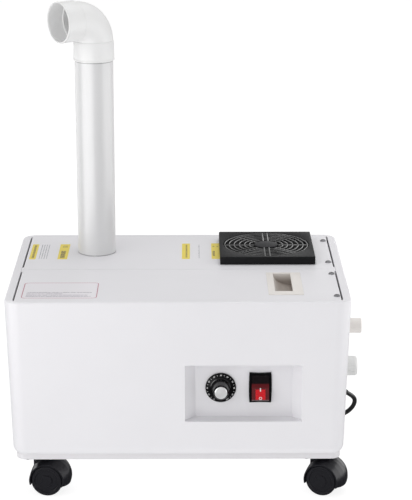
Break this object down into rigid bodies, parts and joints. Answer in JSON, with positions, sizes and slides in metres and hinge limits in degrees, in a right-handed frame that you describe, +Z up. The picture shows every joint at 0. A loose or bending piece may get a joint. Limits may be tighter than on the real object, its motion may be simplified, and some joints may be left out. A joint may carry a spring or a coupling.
{
  "type": "cool mist humidifier",
  "caption": "Ultrasonic cool mist humidifier: a white cabinet on swivel casters with lift-off covers, a guarded fan, a recessed dial and rocker switch, and a mist pipe with a turning elbow.",
  "frame": {"origin": "on the floor, under the middle of the cabinet", "axes": "+X to the right seen from the front, +Y to the back, +Z up; the control recess faces -Y"},
  "size_m": [0.4599, 0.4084, 0.605],
  "materials": {
    "shell_white": "fine satin moulded plastic",
    "pipe_white": "glossy white pipe plastic",
    "ivory_plastic": "satin ivory moulding",
    "fitting_white": "satin white fitting plastic",
    "tank_plastic": "milky tank plastic",
    "fan_black": "fine-textured black plastic",
    "gloss_black": "polished black plastic",
    "rocker_red": "dark translucent red plastic",
    "lens_red": "bright red window",
    "spun_aluminium": "circular spun face",
    "zinc_steel": "zinc-plated steel",
    "stainless": "brushed stainless steel",
    "disc_ceramic": "ceramic disc with a metal film",
    "seal_rubber": "soft black rubber",
    "cord_black": "black cord sheath",
    "filter_foam": "open black foam",
    "board_green": "circuit board with parts",
    "caster_black": "black nylon"
  },
  "bodies": {
    "root": {"body_shell": "shell_white", "control_tray": "shell_white", "base_board": "shell_white", "inlet_stem": "ivory_plastic", "inlet_locknut": "ivory_plastic", "drain_spout": "fitting_white", "drain_locknut": "fitting_white", "level_stem": "fitting_white", "tank": "tank_plastic", "switch_housing": "gloss_black", "base_screws": "zinc_steel", "caster_mounts": "zinc_steel", "power_supply": "zinc_steel", "potentiometer": "zinc_steel", "mist_unit_base": "stainless", "mist_unit_cover": "stainless", "ceramic_discs": "disc_ceramic", "cover_gasket": "seal_rubber", "cord_gland": "seal_rubber", "power_cord": "cord_black", "cord_coil": "cord_black", "cord_tail": "cord_black", "plug": "cord_black", "control_board": "board_green"},
    "front_cover": {"front_cover": "shell_white", "finger_pull": "ivory_plastic", "front_cover_screws": "zinc_steel"},
    "rear_cover": {"rear_cover": "shell_white", "outlet_collar": "fitting_white", "rear_cover_screws": "zinc_steel", "fan_frame": "fan_black", "fan_guard_base": "fan_black", "fan_filter": "filter_foam", "fan_screws": "zinc_steel"},
    "fan_guard": {"fan_guard": "fan_black"},
    "fan_rotor": {"fan_rotor": "fan_black"},
    "mist_pipe": {"mist_pipe": "pipe_white"},
    "mist_elbow": {"mist_elbow": "pipe_white"},
    "dial": {"dial_knob": "gloss_black", "knob_cap": "spun_aluminium", "dial_shaft": "zinc_steel"},
    "rocker": {"switch_rocker": "rocker_red", "switch_lens": "lens_red"},
    "float_valve": {"float_arm": "zinc_steel", "float_ball": "fitting_white"},
    "level_float": {"level_float": "fitting_white"},
    "drain_seal": {"drain_cap_seal": "seal_rubber"},
    "drain_cap": {"drain_cap": "fitting_white"},
    "swivel_front_left": {"caster_hood_front_left": "caster_black"},
    "wheel_front_left_a": {"caster_wheel_front_left_a": "caster_black"},
    "wheel_front_left_b": {"caster_wheel_front_left_b": "caster_black"},
    "swivel_front_right": {"caster_hood_front_right": "caster_black"},
    "wheel_front_right_a": {"caster_wheel_front_right_a": "caster_black"},
    "wheel_front_right_b": {"caster_wheel_front_right_b": "caster_black"},
    "swivel_rear_left": {"caster_hood_rear_left": "caster_black"},
    "wheel_rear_left_a": {"caster_wheel_rear_left_a": "caster_black"},
    "wheel_rear_left_b": {"caster_wheel_rear_left_b": "caster_black"},
    "swivel_rear_right": {"caster_hood_rear_right": "caster_black"},
    "wheel_rear_right_a": {"caster_wheel_rear_right_a": "caster_black"},
    "wheel_rear_right_b": {"caster_wheel_rear_right_b": "caster_black"}
  },
  "joints": [
    {"name": "front_cover_lift", "type": "slide", "parent": "root", "child": "front_cover", "axis": [0, 0, 1], "range_m": [0, 0.12]},
    {"name": "rear_cover_lift", "type": "slide", "parent": "root", "child": "rear_cover", "axis": [0, 0, 1], "range_m": [0, 0.12]},
    {"name": "fan_guard_lift", "type": "slide", "parent": "rear_cover", "child": "fan_guard", "axis": [0, 0, 1], "range_m": [0, 0.03]},
    {"name": "pipe_lift", "type": "slide", "parent": "rear_cover", "child": "mist_pipe", "axis": [0, 0, 1], "range_m": [0, 0.06]},
    {"name": "elbow_swivel", "type": "hinge", "parent": "mist_pipe", "child": "mist_elbow", "pos_m": [-0.11, 0.072, 0.548], "axis": [0, 0, 1], "continuous": true},
    {"name": "fan_spin", "type": "hinge", "parent": "rear_cover", "child": "fan_rotor", "pos_m": [0.117, 0.069, 0.2475], "axis": [0, 0, 1], "continuous": true},
    {"name": "dial_turn", "type": "hinge", "parent": "root", "child": "dial", "pos_m": [0.0533, -0.145, 0.1461], "axis": [0, -1, 0], "range_deg": [-150, 150]},
    {"name": "rocker_tip", "type": "hinge", "parent": "root", "child": "rocker", "pos_m": [0.103, -0.137, 0.1462], "axis": [1, 0, 0], "range_deg": [0, 24]},
    {"name": "float_swing", "type": "hinge", "parent": "root", "child": "float_valve", "pos_m": [0.163, 0.035, 0.16], "axis": [0, 1, 0], "range_deg": [0, 35]},
    {"name": "level_float_rise", "type": "slide", "parent": "root", "child": "level_float", "axis": [0, 0, 1], "range_m": [0, 0.012]},
    {"name": "drain_cap_travel", "type": "slide", "parent": "root", "child": "drain_seal", "axis": [1, 0, 0], "range_m": [0, 0.009]},
    {"name": "drain_cap_turn", "type": "hinge", "parent": "drain_seal", "child": "drain_cap", "pos_m": [0.235, 0.095, 0.092], "axis": [1, 0, 0], "range_deg": [0, 1080]},
    {"name": "swivel_turn_front_left", "type": "hinge", "parent": "root", "child": "swivel_front_left", "pos_m": [-0.177, -0.118, 0.05], "axis": [0, 0, 1], "continuous": true},
    {"name": "wheel_roll_front_left_a", "type": "hinge", "parent": "swivel_front_left", "child": "wheel_front_left_a", "pos_m": [-0.16561, -0.1196, 0.02], "axis": [0.1392, 0.9903, 0], "continuous": true},
    {"name": "wheel_roll_front_left_b", "type": "hinge", "parent": "swivel_front_left", "child": "wheel_front_left_b", "pos_m": [-0.16561, -0.1196, 0.02], "axis": [0.1392, 0.9903, 0], "continuous": true},
    {"name": "swivel_turn_front_right", "type": "hinge", "parent": "root", "child": "swivel_front_right", "pos_m": [0.177, -0.118, 0.05], "axis": [0, 0, 1], "continuous": true},
    {"name": "wheel_roll_front_right_a", "type": "hinge", "parent": "swivel_front_right", "child": "wheel_front_right_a", "pos_m": [0.18762, -0.1224, 0.02], "axis": [0.3827, 0.9239, 0], "continuous": true},
    {"name": "wheel_roll_front_right_b", "type": "hinge", "parent": "swivel_front_right", "child": "wheel_front_right_b", "pos_m": [0.18762, -0.1224, 0.02], "axis": [0.3827, 0.9239, 0], "continuous": true},
    {"name": "swivel_turn_rear_left", "type": "hinge", "parent": "root", "child": "swivel_rear_left", "pos_m": [-0.177, 0.118, 0.05], "axis": [0, 0, 1], "continuous": true},
    {"name": "wheel_roll_rear_left_a", "type": "hinge", "parent": "swivel_rear_left", "child": "wheel_rear_left_a", "pos_m": [-0.16758, 0.1246, 0.02], "axis": [-0.5736, 0.8192, 0], "continuous": true},
    {"name": "wheel_roll_rear_left_b", "type": "hinge", "parent": "swivel_rear_left", "child": "wheel_rear_left_b", "pos_m": [-0.16758, 0.1246, 0.02], "axis": [-0.5736, 0.8192, 0], "continuous": true},
    {"name": "swivel_turn_rear_right", "type": "hinge", "parent": "root", "child": "swivel_rear_right", "pos_m": [0.177, 0.118, 0.05], "axis": [0, 0, 1], "continuous": true},
    {"name": "wheel_roll_rear_right_a", "type": "hinge", "parent": "swivel_rear_right", "child": "wheel_rear_right_a", "pos_m": [0.18825, 0.12039, 0.02], "axis": [-0.2079, 0.9781, 0], "continuous": true},
    {"name": "wheel_roll_rear_right_b", "type": "hinge", "parent": "swivel_rear_right", "child": "wheel_rear_right_b", "pos_m": [0.18825, 0.12039, 0.02], "axis": [-0.2079, 0.9781, 0], "continuous": true}
  ],
  "couplings": [
    {"joint": "drain_cap_travel", "follows": "drain_cap_turn", "m_per_rad": 0.00047746}
  ]
}
